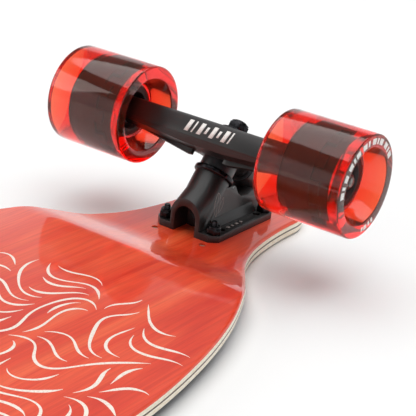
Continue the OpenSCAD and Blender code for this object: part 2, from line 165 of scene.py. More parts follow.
def deck_point(u, v, depth):
    """A point of a ply: u across and v along from -1 to 1, and depth under the bottom face."""
    y = station(v)
    step = 0.4 * MM
    inner = min(abs(y), half_length - step)
    slope = (half_width_at(inner + step / 2) - half_width_at(inner - step / 2)) / step
    normal = Vector((1, -slope, 0)).normalized()
    total = deck_z
    shy = 0
    for d in (depth, total - depth):
        if d < edge_round:
            shy = max(shy, edge_round - math.sqrt(edge_round**2 - (edge_round - d) ** 2))
    x = max(0, half_width_at(y) - shy * normal.x)
    y = math.copysign(abs(y) - shy * normal.y, y)
    return Vector((x * u, y, deck_surface(x * u, y) - depth))


def srgb(code):
    """An sRGB hex value as a linear colour."""
    parts = [int(code[i : i + 2], 16) / 255 for i in (1, 3, 5)]
    return [p / 12.92 if p <= 0.04045 else ((p + 0.055) / 1.055) ** 2.4 for p in parts] + [1]


def material(name, colour, roughness, **inputs):
    """A material with its own principled shader; inputs are the shader's sockets."""
    made = bpy.data.materials.new(name)
    made.use_nodes = True
    shader = made.node_tree.nodes["Principled BSDF"]
    shader.inputs["Base Color"].default_value = srgb(colour)
    shader.inputs["Roughness"].default_value = roughness
    for socket, value in inputs.items():
        shader.inputs[socket.replace("_", " ")].default_value = value
    return made


def add(made, kind, links=(), **settings):
    """Adds a node: settings are its properties or sockets, links are (socket, node, output)."""
    node = made.node_tree.nodes.new(kind)
    for name, value in settings.items():
        if hasattr(node, name):
            setattr(node, name, value)
        else:
            node.inputs[name.replace("_", " ")].default_value = value
    for socket, source, output in links:
        made.node_tree.links.new(source.outputs[output], node.inputs[socket])
    return node


def join(made, source, output, socket):
    """Links a node's output to a socket of the principled shader."""
    shader = made.node_tree.nodes["Principled BSDF"]
    made.node_tree.links.new(source.outputs[output], shader.inputs[socket])


def ramp(made, source, output, stops):
    """A colour ramp on a value; stops are (position, colour)."""
    node = add(made, "ShaderNodeValToRGB", [("Fac", source, output)])
    node.color_ramp.elements[0].position, first = stops[0]
    node.color_ramp.elements[0].color = srgb(first)
    node.color_ramp.elements[1].position, last = stops[-1]
    node.color_ramp.elements[1].color = srgb(last)
    for position, colour in stops[1:-1]:
        node.color_ramp.elements.new(position).color = srgb(colour)
    return node


def grain(made, across, along, detail):
    """Noise drawn out along the deck, as wood grain is: across and along are in metres."""
    place = add(made, "ShaderNodeTexCoord")
    scale = add(
        made,
        "ShaderNodeMapping",
        [("Vector", place, "Object")],
        Scale=(1 / across, 1 / along, 1 / across),
    )
    return add(
        made,
        "ShaderNodeTexNoise",
        [("Vector", scale, "Vector")],
        Scale=1.0,
        Detail=detail,
        Roughness=0.6,
        Distortion=0.6,
    )


def mottle(made, scale, detail):
    """Even noise in the object's own space; scale is in cells per metre."""
    place = add(made, "ShaderNodeTexCoord")
    return add(made, "ShaderNodeTexNoise", [("Vector", place, "Object")], Scale=scale, Detail=detail)


def piece(name, bm, made, body, smooth=40):
    """Turns a bmesh into a finished object that rides on a body."""
    mesh = bpy.data.meshes.new(name)
    bm.to_mesh(mesh)
    bm.free()
    mesh.materials.append(made)
    mesh.shade_smooth()
    if smooth:
        mesh.set_sharp_from_angle(angle=math.radians(smooth))
    obj = bpy.data.objects.new(name, mesh)
    bpy.context.scene.collection.objects.link(obj)
    if body:
        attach(obj, body)
    return obj


def ply(depths, rows=300, columns=36):
    """A ply between two depths, as a bmesh: its two faces and its rounded edge."""
    bm = bmesh.new()
    depth_layer = bm.verts.layers.float.new("depth")
    for depth in (depths[0], depths[-1]):
        made = bmesh.ops.create_grid(bm, x_segments=columns, y_segments=rows, size=1)
        for vert in made["verts"]:
            u = math.sin(vert.co.x * math.pi / 2)
            vert.co = deck_point(u, vert.co.y, depth)
            vert[depth_layer] = depth
        if depth == depths[-1]:
            faces = list({f for v in made["verts"] for f in v.link_faces})
            bmesh.ops.reverse_faces(bm, faces=faces)
    for side in (-1, 1):
        wall = bmesh.ops.create_grid(bm, x_segments=len(depths) - 1, y_segments=rows, size=1)
        for vert in wall["verts"]:
            depth = depths[round((vert.co.x + 1) / 2 * (len(depths) - 1))]
            vert.co = deck_point(side, vert.co.y, depth)
            vert[depth_layer] = depth
    bmesh.ops.remove_doubles(bm, verts=bm.verts, dist=0.01 * MM)
    bmesh.ops.dissolve_degenerate(bm, edges=bm.edges, dist=0.005 * MM)
    bmesh.ops.recalc_face_normals(bm, faces=bm.faces)
    return bm


def drill(obj, centres, radius):
    """Round holes through a deck piece, along Z."""
    bm = bmesh.new()
    for x, y in centres:
        bmesh.ops.create_cone(
            bm, cap_ends=True, segments=32, radius1=radius, radius2=radius, depth=0.08,
            matrix=Matrix.Translation((x, y, deck_z)),
        )
    mesh = bpy.data.meshes.new("drill")
    bm.to_mesh(mesh)
    bm.free()
    tool = bpy.data.objects.new("drill", mesh)
    bpy.context.scene.collection.objects.link(tool)
    cut = obj.modifiers.new("holes", "BOOLEAN")
    cut.operation = "DIFFERENCE"
    cut.solver = "EXACT"
    cut.object = tool
    bpy.context.view_layer.update()
    evaluated = obj.evaluated_get(bpy.context.evaluated_depsgraph_get())
    cut_mesh = bpy.data.meshes.new_from_object(evaluated)
    obj.modifiers.clear()
    # the cut can leave a sliver of a face out at a hole's rim, so close any small gap
    holed = bmesh.new()
    holed.from_mesh(cut_mesh)
    bmesh.ops.remove_doubles(holed, verts=holed.verts, dist=0.001 * MM)
    rims = [edge for edge in holed.edges if edge.is_boundary]
    bmesh.ops.holes_fill(holed, edges=rims, sides=6)
    holed.to_mesh(cut_mesh)
    holed.free()
    obj.data = cut_mesh
    bpy.data.objects.remove(tool)


# the standard truck pattern, with a spare row of holes towards the middle of the deck
bolt_x, bolt_y, spare_step = 41.3 / 2 * MM, 63.5 / 2 * MM, 12.7 * MM
bolt_rows = [truck_y - bolt_y, truck_y + bolt_y]
spare_rows = [y - spare_step for y in bolt_rows]
hole_centres = [
    (sx * bolt_x, sy * y) for sx in (-1, 1) for sy in (-1, 1) for y in bolt_rows + spare_rows
]
hole_radius = 2.6 * MM

veneer, pale_core, dark_core = 1.5 * MM, 2.75 * MM, 1.2 * MM
face_depths = [0, 0.25 * MM, 0.6 * MM, 1.0 * MM, veneer]
layer_depths = [
    ("deck_bottom_veneer", face_depths),
    ("deck_core_bottom", [veneer, 2.0 * MM, edge_round, veneer + pale_core]),
    ("deck_dark_ply", [veneer + pale_core, veneer + pale_core + dark_core]),
    ("deck_core_top", [veneer + pale_core + dark_core, veneer + 2 * pale_core + dark_core]),
    (
        "deck_top_veneer",
        [veneer + 2 * pale_core + dark_core, deck_z - 2.0 * MM, 2 * veneer + 2 * pale_core + dark_core],
    ),
    ("grip_tape", [2 * veneer + 2 * pale_core + dark_core, deck_z - 0.4 * MM, deck_z]),
]

# Rotary-cut maple under a red-orange dye, then gloss lacquer: the dye soaks in unevenly along
# the grain, so the colour drifts in long streaks under a clear coat with a little orange-peel.
stained_maple = material(
    "dyed_lacquered_maple", "#e8401f", 0.42, Coat_Weight=1.0, Coat_Roughness=0.06, Coat_IOR=1.5
)
streaks = grain(stained_maple, 20 * MM, 210 * MM, 5)
fine = grain(stained_maple, 1.5 * MM, 70 * MM, 3)
dye = ramp(
    stained_maple, streaks, "Fac",
    [(0.30, "#d92c0e"), (0.48, "#e8421b"), (0.62, "#f05529"), (0.78, "#f66c3c")],
)
pores = ramp(stained_maple, fine, "Fac", [(0.36, "#d8bcae"), (0.6, "#ffffff")])
dyed = add(
    stained_maple, "ShaderNodeMix", [(6, dye, "Color"), (7, pores, "Color")],
    data_type="RGBA", blend_type="MULTIPLY", Factor=0.45,
)
join(stained_maple, dyed, 2, "Base Color")
gloss = add(
    stained_maple, "ShaderNodeMapRange", [("Value", streaks, "Fac")],
    From_Min=0.3, From_Max=0.7, To_Min=0.34, To_Max=0.48,
)
join(stained_maple, gloss, "Result", "Roughness")
place = add(stained_maple, "ShaderNodeTexCoord")
peel = add(stained_maple, "ShaderNodeTexNoise", [("Vector", place, "Object")], Scale=70.0, Detail=1.0)
peel_bump = add(
    stained_maple, "ShaderNodeBump", [("Height", peel, "Fac")], Strength=0.1, Distance=0.0005
)
join(stained_maple, peel_bump, "Normal", "Coat Normal")
pore_bump = add(
    stained_maple, "ShaderNodeBump", [("Height", fine, "Fac")], Strength=0.2, Distance=0.00012
)
join(stained_maple, pore_bump, "Normal", "Normal")

# Bare maple, sanded and sealed: cream, with thin brown lines where the knife cut across pores.
bare_maple = material("sanded_bare_maple", "#e9d3ab", 0.48, Coat_Weight=0.35, Coat_Roughness=0.25)
wood_tone = grain(bare_maple, 0.5 * MM, 26 * MM, 4)
wood = ramp(
    bare_maple, wood_tone, "Fac", [(0.32, "#dfc8a2"), (0.5, "#f5e9d2"), (0.7, "#fcf5e8")]
)
join(bare_maple, wood, "Color", "Base Color")

# The ply in the middle is dyed brown-black, so the edge shows one dark line.
dark_maple = material("dyed_dark_ply", "#4a3324", 0.5, Coat_Weight=0.3, Coat_Roughness=0.25)
dark_tone = grain(dark_maple, 0.4 * MM, 22 * MM, 4)
dark_wood = ramp(dark_maple, dark_tone, "Fac", [(0.35, "#38251a"), (0.65, "#634735")])
join(dark_maple, dark_wood, "Color", "Base Color")

# Silicon-carbide grit bonded to black film: a matt ground, with a painted highlight on each grain, whose
# raised top is painted lighter grey as a glint.
grit = material("black_silicon_carbide_grit", "#141415", 0.92)
grit_place = add(grit, "ShaderNodeTexCoord")
grains = add(
    grit, "ShaderNodeTexVoronoi", [("Vector", grit_place, "Object")], Scale=1600.0, Randomness=1.0
)
# painted highlight: the colour is lighter grey at each grain's centre, where the bump raises it, as a
# painted glint
painted_grit_glints = ramp(grit, grains, "Distance", [(0.0, "#3d3d40"), (0.25, "#18181a"), (0.8, "#0c0c0d")])
join(grit, painted_grit_glints, "Color", "Base Color")
grit_bump = add(
    grit, "ShaderNodeBump", [("Height", grains, "Distance")], Strength=0.8, Distance=0.0004
)
grit_bump.invert = True
join(grit, grit_bump, "Normal", "Normal")

deck_finish = {
    "deck_bottom_veneer": (stained_maple, "stained_veneer"),
    "deck_core_bottom": (bare_maple, "maple_ply"),
    "deck_dark_ply": (dark_maple, "dark_ply"),
    "deck_core_top": (bare_maple, "maple_ply"),
    "deck_top_veneer": (bare_maple, "maple_ply"),
    "grip_tape": (grit, "grip_tape"),
}
for node, depths in layer_depths:
    finish, slot = deck_finish[node]
    outer = node in ("deck_bottom_veneer", "grip_tape")
    layer = piece(
        f"skin_{node}", ply(depths, 380 if outer else 260, 34 if outer else 12), finish, "board"
    )
    drill(layer, hole_centres, hole_radius)
    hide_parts(node)

# ---------- line art on the deck ----------
# Flowing smoke-like lines screen-printed in cream white on the dyed veneer, under the lacquer.
# Each line is a ribbon that swells and tapers and lies on the deck's surface.
cream_ink = material(
    "cream_screen_ink", "#f6e9dc", 0.5, Coat_Weight=1.0, Coat_Roughness=0.08, Coat_IOR=1.5
)
ink_wear = mottle(cream_ink, 900.0, 3.0)
ink = ramp(cream_ink, ink_wear, "Fac", [(0.3, "#e9cdbd"), (0.5, "#f8ecdf")])
join(cream_ink, ink, "Color", "Base Color")

ink_random = random.Random(11)
ink_starts = 1500
ink_step = 1.5
ink_cell = 10


def ink_heading(x, y):
    """Direction of the lines at a point in mm: waves that roll over into curls here and there."""
    roll = math.sin(x / 12.5 + 1.3 * math.sin(y / 27) + 0.4)
    drift = math.sin(y / 19 + x / 46 + 1.1)
    return -0.1 + 1.3 * roll + 0.8 * drift


def ink_allowed(x, y):
    """The lines keep to the standing platform, clear of the rails and of the ramps."""
    reach = 178 + 16 * math.sin(x / 36 + 0.6) - 0.13 * x
    return abs(y) < reach and abs(x) < half_width_at(y * MM) / MM - 5


def ink_walk(x, y, way, longest, gap, near):
    """Points of a line that follows the waves until it comes too close to another one."""
    walked = []
    while len(walked) < longest:
        heading = ink_heading(x, y)
        x += way * ink_step * math.cos(heading)
        y += way * ink_step * math.sin(heading)
        if not ink_allowed(x, y):
            break
        cell = (int(x // ink_cell), int(y // ink_cell))
        close = [
            p for i in (-1, 0, 1) for j in (-1, 0, 1)
            for p in near.get((cell[0] + i, cell[1] + j), ())
        ]
        if any((p[0] - x) ** 2 + (p[1] - y) ** 2 < gap**2 for p in close):
            break
        walked.append((x, y))
    return walked


def ribbon(bm, points, wide):
    """Adds a tapered ribbon along points in mm, wide mm across, on the deck's surface."""
    last = len(points) - 1
    made = bmesh.ops.create_grid(bm, x_segments=2, y_segments=last, size=1)
    for vert in made["verts"]:
        i = round((vert.co.y + 1) / 2 * last)
        here = points[i]
        ahead, back = points[min(last, i + 1)], points[max(0, i - 1)]
        along = Vector((ahead[0] - back[0], ahead[1] - back[1])).normalized()
        taper = min(1, 0.12 + i / 7, 0.12 + (last - i) / 7)
        swell = wide * taper * (0.82 + 0.18 * math.sin(i / 6 + here[0] / 20))
        x = (here[0] - along.y * vert.co.x * swell / 2) * MM
        y = (here[1] + along.x * vert.co.x * swell / 2) * MM
        vert.co = (x, y, deck_surface(x, y) + 0.05 * MM)


art = bmesh.new()
near = {}
for _ in range(ink_starts):
    x0, y0 = ink_random.uniform(-132, 132), ink_random.uniform(-195, 195)
    fine_patch = abs(y0) < 62 and x0 < 30
    gap = 3.4 if fine_patch else 5.4
    longest = ink_random.randint(14, 34) if fine_patch else ink_random.randint(26, 74)
    if not ink_allowed(x0, y0):
        continue
    path = ink_walk(x0, y0, -1, longest, gap, near)[::-1]
    path += [(x0, y0)] if path else []
    path += ink_walk(x0, y0, 1, longest, gap, near)
    if len(path) < (10 if fine_patch else 18):
        continue
    ribbon(art, path, ink_random.uniform(0.9, 1.3) if fine_patch else ink_random.uniform(1.9, 2.7))
    for p in path:
        near.setdefault((int(p[0] // ink_cell), int(p[1] // ink_cell)), []).append(p)
bmesh.ops.recalc_face_normals(art, faces=art.faces)
deep = bmesh.ops.extrude_face_region(art, geom=art.faces[:])
down = [v for v in deep["geom"] if isinstance(v, bmesh.types.BMVert)]
bmesh.ops.translate(art, verts=down, vec=(0, 0, -0.04 * MM))
bmesh.ops.recalc_face_normals(art, faces=art.faces)
piece("deck_line_art", art, cream_ink, "board", smooth=30)

# ---------- trucks ----------
# Reverse-kingpin trucks, gravity-cast aluminium, sprayed satin brown-black. The casting skin
# stays a little uneven under the paint, which softens every highlight.
black_casting = material(
    "satin_black_paint_on_casting", "#151111", 0.42, Coat_Weight=0.2, Coat_Roughness=0.2
)
cast_place = add(black_casting, "ShaderNodeTexCoord")
sand = add(
    black_casting, "ShaderNodeTexNoise", [("Vector", cast_place, "Object")],
    Scale=900.0, Detail=4.0, Roughness=0.65,
)
sand_bump = add(
    black_casting, "ShaderNodeBump", [("Height", sand, "Fac")], Strength=0.22, Distance=0.0002
)
join(black_casting, sand_bump, "Normal", "Normal")
dust = add(black_casting, "ShaderNodeTexNoise", [("Vector", cast_place, "Object")], Scale=55.0, Detail=5.0)
paint_tone = ramp(black_casting, dust, "Fac", [(0.35, "#120f0f"), (0.7, "#1c1817")])
join(black_casting, paint_tone, "Color", "Base Color")
paint_gloss = add(
    black_casting, "ShaderNodeMapRange", [("Value", dust, "Fac")],
    From_Min=0.3, From_Max=0.7, To_Min=0.36, To_Max=0.5,
)
join(black_casting, paint_gloss, "Result", "Roughness")


def refined(bm, node, width, segments=2, angle=28):
    """Adds a merged copy of a CAD node with its sharp edges rounded."""
    bm.from_mesh(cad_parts[node].data)
    bmesh.ops.remove_doubles(bm, verts=bm.verts, dist=0.005 * MM)
    bmesh.ops.dissolve_limit(
        bm, angle_limit=math.radians(1.5), verts=bm.verts, edges=bm.edges, use_dissolve_boundaries=False
    )
    sharp = [
        e for e in bm.edges
        if len(e.link_faces) == 2 and e.calc_face_angle(0) > math.radians(angle)
    ]
    bmesh.ops.bevel(
        bm, geom=sharp, offset=width, offset_type="OFFSET", affect="EDGES", segments=segments,
        profile=0.5, material=-1, clamp_overlap=True,
    )
    bmesh.ops.recalc_face_normals(bm, faces=bm.faces)


for end in ("front", "rear"):
    plate = bmesh.new()
    refined(plate, f"{end}_baseplate", 0.6 * MM)
    plate_obj = piece(f"{end}_cast_baseplate", plate, black_casting, "board", 50)
    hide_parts(f"{end}_baseplate")
    arm = bmesh.new()
    refined(arm, f"{end}_hanger", 0.9 * MM, 3)
    arm_obj = piece(f"{end}_cast_hanger", arm, black_casting, f"{end}_hanger", 50)
    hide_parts(f"{end}_hanger")

# ---------- kingpin, bushings and cups ----------
# Cast urethane cushions between steel washers, squeezed by the kingpin and its lock nut. The
# pivot cup is a harder, duller urethane. A slightly soft skin scatters the light at their rims.
seat_y, seat_z = -6.75 * MM, 38.3 * MM
lean = math.radians(50)
black_urethane = material(
    "cast_black_urethane", "#17171a", 0.42, Coat_Weight=0.25, Coat_Roughness=0.3, Sheen_Weight=0.15
)
bloom = mottle(black_urethane, 140.0, 4.0)
bloom_tone = ramp(black_urethane, bloom, "Fac", [(0.35, "#121214"), (0.7, "#222226")])
join(black_urethane, bloom_tone, "Color", "Base Color")
bloom_gloss = add(
    black_urethane, "ShaderNodeMapRange", [("Value", bloom, "Fac")], To_Min=0.3, To_Max=0.6
)
join(black_urethane, bloom_gloss, "Result", "Roughness")


def kingpin_place(end):
    """The kingpin's frame: Z along it from its seat, Y towards the pivot."""
    turn = Matrix.Rotation(0 if end == "front" else math.pi, 4, "Z")
    place = Matrix.Translation((0, truck_y, deck_z)) @ Matrix.Translation((0, seat_y, seat_z))
    return turn @ place @ Matrix.Rotation(lean - math.pi / 2, 4, "X")


def spun(bm, profile, place, steps=64):
    """Spins a closed profile of (radius, height) in mm about the Z axis of a frame."""
    verts = [bm.verts.new((r * MM, 0, z * MM)) for r, z in profile]
    edges = [bm.edges.new((verts[i - 1], verts[i])) for i in range(len(verts))]
    made = bmesh.ops.spin(
        bm, geom=verts + edges, axis=(0, 0, 1), cent=(0, 0, 0), angle=2 * math.pi,
        steps=steps, use_merge=True,
    )
    new = [v for v in bm.verts if v.is_valid and not v.tag]
    bmesh.ops.transform(bm, matrix=place, verts=new)
    for vert in new:
        vert.tag = True
    return made


def rounded(points, radius, steps=3):
    """A closed profile with each corner cut back by radius and rounded."""
    result = []
    for i, corner in enumerate(points):
        here = Vector(corner)
        before = Vector(points[i - 1]) - here
        after = Vector(points[(i + 1) % len(points)]) - here
        cut = min(radius, before.length * 0.45, after.length * 0.45)
        start = here + before.normalized() * cut
        finish = here + after.normalized() * cut
        for s in range(steps + 1):
            t = s / steps
            result.append(tuple((1 - t) ** 2 * start + 2 * t * (1 - t) * here + t * t * finish))
    return result


for end in ("front", "rear"):
    at = kingpin_place(end)
    cushion = bmesh.new()
    spun(
        cushion,
        rounded([(4.85, -2.8), (12.5, -2.8), (12.8, 0.6), (12.8, 9.8), (12.4, 13.4), (4.85, 13.4)], 1.2),
        at,
    )
    bmesh.ops.recalc_face_normals(cushion, faces=cushion.faces)
    cushion_obj = piece(f"{end}_board_cushion", cushion, black_urethane, None)
    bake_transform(cushion_obj)
    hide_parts(f"{end}_board_bushing")
    cone = bmesh.new()
    spun(
        cone,
        rounded([(4.85, 21), (12.6, 21), (12.5, 22.6), (10.4, 30.6), (9.8, 31.5), (4.85, 31.5)], 0.9),
        at,
    )
    bmesh.ops.recalc_face_normals(cone, faces=cone.faces)
    cone_obj = piece(f"{end}_road_cushion", cone, black_urethane, None)
    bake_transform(cone_obj)
    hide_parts(f"{end}_road_bushing")

# ---------- steel of the trucks ----------
# The lock nuts, bolts, kingpin and its two washers are black oxide with an oily sheen. The
# bearing races, spacers and speed washers are ground bright, and the axle is left dull.
black_steel = material("black_oxide_steel", "#242427", 0.3, Metallic=1.0)
oil = mottle(black_steel, 420.0, 4.0)
oxide = ramp(black_steel, oil, "Fac", [(0.3, "#1c1c1e"), (0.7, "#39383b")])
join(black_steel, oxide, "Color", "Base Color")
oil_gloss = add(black_steel, "ShaderNodeMapRange", [("Value", oil, "Fac")], To_Min=0.16, To_Max=0.44)
join(black_steel, oil_gloss, "Result", "Roughness")

bright_steel = material("ground_bright_steel", "#c9c8c6", 0.22, Metallic=1.0, Anisotropic=0.4)
ground = mottle(bright_steel, 700.0, 3.0)
ground_gloss = add(bright_steel, "ShaderNodeMapRange", [("Value", ground, "Fac")], To_Min=0.12, To_Max=0.34)
join(bright_steel, ground_gloss, "Result", "Roughness")
ground_tone = ramp(bright_steel, ground, "Fac", [(0.3, "#b5b4b2"), (0.7, "#d6d5d3")])
join(bright_steel, ground_tone, "Color", "Base Color")

# rolled and threaded steel, grey and dull
axle_steel = material("dull_rolled_steel", "#7d7b79", 0.34, Metallic=1.0)
scale_marks = mottle(axle_steel, 600.0, 3.0)
scale_tone = ramp(axle_steel, scale_marks, "Fac", [(0.3, "#5f5d5b"), (0.7, "#94918e")])
join(axle_steel, scale_tone, "Color", "Base Color")

steel_nodes = [
    ("kingpin", "board", black_steel, "black_steel", 0.35),
    ("kingpin_nut", "board", black_steel, "black_steel", 0.4),
    ("cup_washer", "board", black_steel, "black_steel", 0.2),
    ("upper_washer", "board", black_steel, "black_steel", 0.25),
    ("mounting_nuts", "board", black_steel, "black_steel", 0.35),
    ("pivot_cup", "board", black_urethane, "black_urethane", 0.2),
    ("axle_nuts", None, black_steel, "black_steel", 0.35),
    ("speed_washers", None, bright_steel, "bright_steel", 0.1),
    ("bearing_inner_races", None, bright_steel, "bright_steel", 0.2),
    ("bearing_spacers", None, bright_steel, "bright_steel", 0.2),
]
for end in ("front", "rear"):
    for name, body, finish, slot, width in steel_nodes:
        part = bmesh.new()
        refined(part, f"{end}_{name}", width * MM)
        part_obj = piece(f"{end}_finished_{name}", part, finish, body or f"{end}_hanger")
        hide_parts(f"{end}_{name}")


def thread(low, high, radius, pitch, depth):
    """Profile points of a thread between two heights, in mm, from low to high."""
    turns = int((high - low) / pitch)
    points = []
    for i in range(turns):
        z = low + i * pitch
        points += [(radius - depth, z + 0.05 * pitch), (radius, z + 0.45 * pitch)]
        points += [(radius, z + 0.6 * pitch), (radius - depth, z + 0.98 * pitch)]
    return points + [(radius - depth, high)]


# Countersunk bolts come up through the deck and stand proud of their lock nuts.
bolt_profile = [(0, -10.3), (4.5, -10.3), (4.5, -10.0), (2.4, -7.9), (2.4, 4.6)]
bolt_profile += thread(4.6, 13.9, 2.4, 0.8, 0.32) + [(1.7, 14.3), (0, 14.3)]
# The axle is a plain rod through the hanger, with a thread cut at each tip.
tip = thread(101, 112.1, 3.97, 1.06, 0.42)
axle_half = [(3.97, z) for z in (0, 40, 77, 100.5)] + tip + [(2.9, 112.5), (0, 112.5)]
axle_profile = [(r, -z) for r, z in reversed(axle_half)] + axle_half[1:]
for end in ("front", "rear"):
    turn = Matrix.Rotation(0 if end == "front" else math.pi, 4, "Z")
    bolts = bmesh.new()
    for x in (-bolt_x, bolt_x):
        for y in (-bolt_y, bolt_y):
            spun(bolts, bolt_profile, turn @ Matrix.Translation((x, truck_y + y, deck_z)), 32)
    bmesh.ops.remove_doubles(bolts, verts=bolts.verts, dist=0.002 * MM)
    bmesh.ops.recalc_face_normals(bolts, faces=bolts.faces)
    bolts_obj = piece(f"{end}_threaded_bolts", bolts, black_steel, "board")
    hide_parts(f"{end}_mounting_bolts")
    rod = bmesh.new()
    low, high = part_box(f"{end}_axle")
    spun(rod, axle_profile, Matrix.Translation((low + high) / 2) @ Matrix.Rotation(math.pi / 2, 4, "Y"), 48)
    bmesh.ops.remove_doubles(rod, verts=rod.verts, dist=0.002 * MM)
    bmesh.ops.recalc_face_normals(rod, faces=rod.faces)
    rod_obj = piece(f"{end}_threaded_axle", rod, axle_steel, f"{end}_hanger")
    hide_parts(f"{end}_axle")

# ---------- wheels ----------
# Cast polyurethane, clear deep red, around a dark glass-filled core with lugs. Thin lips glow
# orange and the thick tread goes blood red, because the colour lies in the depth of the cast.
red_urethane = material(
    "translucent_red_urethane", "#ffa474", 0.06, Transmission_Weight=0.97, IOR=1.5
)
depth_colour = add(
    red_urethane, "ShaderNodeVolumeAbsorption", Color=srgb("#ff6a20"), Density=135.0
)
red_out = red_urethane.node_tree.nodes["Material Output"]
red_urethane.node_tree.links.new(depth_colour.outputs["Volume"], red_out.inputs["Volume"])
haze = mottle(red_urethane, 45.0, 3.0)
haze_gloss = add(red_urethane, "ShaderNodeMapRange", [("Value", haze, "Fac")], To_Min=0.03, To_Max=0.12)
join(red_urethane, haze_gloss, "Result", "Roughness")

core_plastic = material("dark_glass_filled_nylon", "#170b0c", 0.5)
flow = mottle(core_plastic, 260.0, 3.0)
flow_tone = ramp(core_plastic, flow, "Fac", [(0.3, "#100808"), (0.7, "#1d0f10")])
join(core_plastic, flow_tone, "Color", "Base Color")

wheel_profile = [
    (17.4, -18.75), (20.2, -18.75), (22.0, -22.0), (27.3, -32.75), (35.1, -32.75), (36, -31.9),
    (36, 31.9), (35.1, 32.75), (27.3, 32.75), (22.0, 22.0), (20.2, 18.75), (17.4, 18.75),
]
for end in ("front", "rear"):
    for side in ("left", "right"):
        wheel = f"{end}_{side}"
        low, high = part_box(f"{wheel}_tyre")
        hub = Matrix.Translation((low + high) / 2) @ Matrix.Rotation(math.pi / 2, 4, "Y")
        cast = bmesh.new()
        spun(cast, rounded(wheel_profile, 0.9), hub, 128)
        bmesh.ops.recalc_face_normals(cast, faces=cast.faces)
        cast_obj = piece(f"{wheel}_cast_tyre", cast, red_urethane, f"{wheel}_wheel", 50)
        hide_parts(f"{wheel}_tyre")
        moulded = bmesh.new()
        refined(moulded, f"{wheel}_core", 0.25 * MM)
        moulded_obj = piece(
            f"{wheel}_moulded_core", moulded, core_plastic, f"{wheel}_wheel"
        )
        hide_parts(f"{wheel}_core")
        for name in ("bearing_outer_races", "bearing_balls"):
            part = bmesh.new()
            refined(part, f"{wheel}_{name}", 0.12 * MM, 1, 60)
            part_obj = piece(f"{wheel}_finished_{name}", part, bright_steel, f"{wheel}_wheel")
            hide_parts(f"{wheel}_{name}")

# ---------- printed and etched marks ----------
# Generic marks where the real board carries its maker's: white bars on the hanger's flat face,
# a thin leaf on the baseplate's wall, and a ring of dashes round each wheel's outer face.
white_ink = material("white_pad_print", "#efebe6", 0.45, Coat_Weight=0.2, Coat_Roughness=0.3)
print_wear = mottle(white_ink, 1500.0, 2.0)
print_tone = ramp(white_ink, print_wear, "Fac", [(0.3, "#d8d3cd"), (0.5, "#f3efea")])
join(white_ink, print_tone, "Color", "Base Color")

bar_slant = 0.18
bar_rows = [
    (-17, 9, 3.4), (-12.2, 9, 1.2), (-6.5, 9, 3.4), (-1.6, 5.4, 2.0), (4, 9, 3.4),
    (8.8, 5.4, 2.0), (14.2, 9, 3.4), (18.6, 9, 1.2),
]
for end in ("front", "rear"):
    face = kingpin_place(end) @ Matrix.Translation((0, -32.2 * MM, 17.1 * MM))
    face = face @ Matrix.Rotation(math.pi / 2, 4, "X")
    marks = bmesh.new()
    for x, tall, wide in bar_rows:
        slant = Matrix.Identity(4)
        slant[0][1] = bar_slant
        size = Matrix.Diagonal((wide * MM, tall * MM, 0.12 * MM, 1))
        bmesh.ops.create_cube(
            marks, size=1, matrix=face @ Matrix.Translation((x * MM, 0, 0)) @ slant @ size
        )
    bmesh.ops.recalc_face_normals(marks, faces=marks.faces)
    piece(f"{end}_hanger_mark", marks, white_ink, f"{end}_hanger", smooth=0)


def spline(points, t):
    """A point on the Catmull-Rom curve through the points, for t from 0 to 1."""
    spans = len(points) - 1
    i = min(int(t * spans), spans - 1)
    s = t * spans - i
    before = points[max(0, i - 1)]
    a, b = points[i], points[i + 1]
    after = points[min(spans, i + 2)]
    return [
        0.5 * (2 * q + (r - p) * s + (2 * p - 5 * q + 4 * r - w) * s * s + (3 * q - p - 3 * r + w) * s**3)
        for p, q, r, w in zip(before, a, b, after)
    ]


